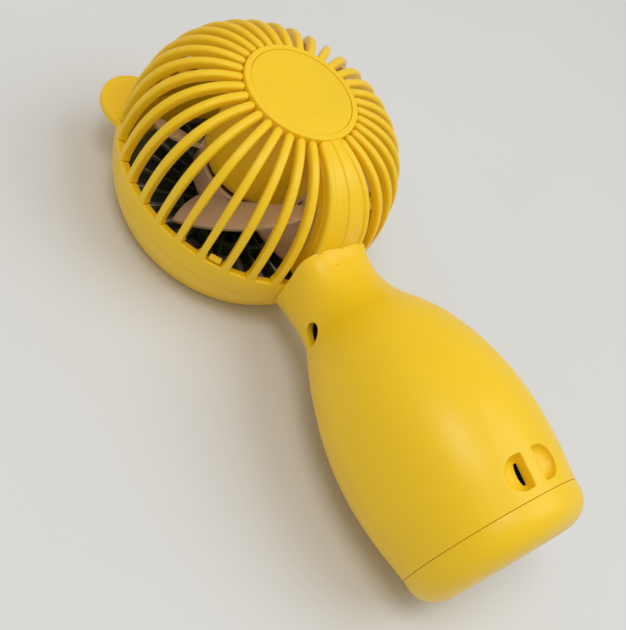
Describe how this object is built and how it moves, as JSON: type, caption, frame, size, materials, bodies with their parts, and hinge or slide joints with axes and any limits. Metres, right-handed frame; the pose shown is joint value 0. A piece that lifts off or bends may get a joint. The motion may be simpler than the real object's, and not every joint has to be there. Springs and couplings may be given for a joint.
{
  "type": "handheld electric fan",
  "caption": "Handheld fan with a ribbed dome cage, round rear disc, two flat ears, a bottle-shaped handle with lanyard bar, charging hole, and a bladed impeller inside.",
  "frame": {"origin": "centre of the fan's front face, on the surface that the fan lies on", "axes": "+Z from the front grille to the rear disc, along the impeller's axis; the handle runs along -Y; +X completes a right-handed frame"},
  "size_m": [0.0804, 0.1703, 0.0547],
  "materials": {
    "yellow_shell": "satin moulded ABS",
    "yellow_inner": "moulded ABS, inside face",
    "green_grille": "dark green moulded ABS",
    "tan_impeller": "tan, slightly translucent",
    "steel": "plated",
    "brass": "turned",
    "black_plastic": "matte",
    "board_green": "solder mask",
    "cell_wrap": "shrink wrap",
    "foam_grey": "foam",
    "white_lens": "diffusing lens",
    "wire_red": "insulation",
    "wire_black": "insulation",
    "ferrite": "sintered"
  },
  "bodies": {
    "fan_body": {"rear_cage": "yellow_shell", "rear_cap_disc": "yellow_shell", "front_bezel_ring": "yellow_shell", "front_grille": "green_grille", "grille_centre_cap": "green_grille", "ring_snap_clip_1": "yellow_shell", "ring_snap_clip_2": "yellow_shell", "ring_snap_clip_3": "yellow_shell", "ring_snap_clip_4": "yellow_shell", "left_ear": "yellow_shell", "right_ear": "yellow_shell", "wire_duct": "yellow_inner", "motor_pod": "yellow_inner", "motor_can": "steel", "motor_end_cap": "black_plastic", "motor_magnets": "ferrite", "front_bearing": "brass", "rear_bearing": "brass", "motor_screw_1": "steel", "motor_screw_2": "steel", "handle_rear_shell": "yellow_shell", "handle_front_shell": "yellow_shell", "base_cap": "yellow_shell", "button_switch": "black_plastic", "charge_light_lens": "white_lens", "control_board": "board_green", "charge_chip": "black_plastic", "power_coil": "black_plastic", "status_chip": "black_plastic", "charge_jack_body": "black_plastic", "charge_jack_pin": "brass", "battery_cell": "cell_wrap", "battery_tab_positive": "steel", "battery_tab_negative": "steel", "battery_foam_pad": "foam_grey", "motor_wire_red": "wire_red", "motor_wire_black": "wire_black", "battery_wire_red": "wire_red", "battery_wire_black": "wire_black"},
    "rotor": {"impeller": "tan_impeller", "motor_shaft": "steel", "motor_armature": "ferrite", "hub_nose_cap": "tan_impeller"},
    "button": {"speed_button": "yellow_shell", "switch_plunger": "black_plastic"}
  },
  "joints": [
    {"name": "impeller_spin", "type": "hinge", "parent": "fan_body", "child": "rotor", "pos_m": [0, 0, 0.03], "axis": [0, 0, 1], "continuous": true},
    {"name": "button_press", "type": "slide", "parent": "fan_body", "child": "button", "axis": [0, 0, 1], "range_m": [0, 0.0008], "stiffness_N_per_m": 400}
  ]
}
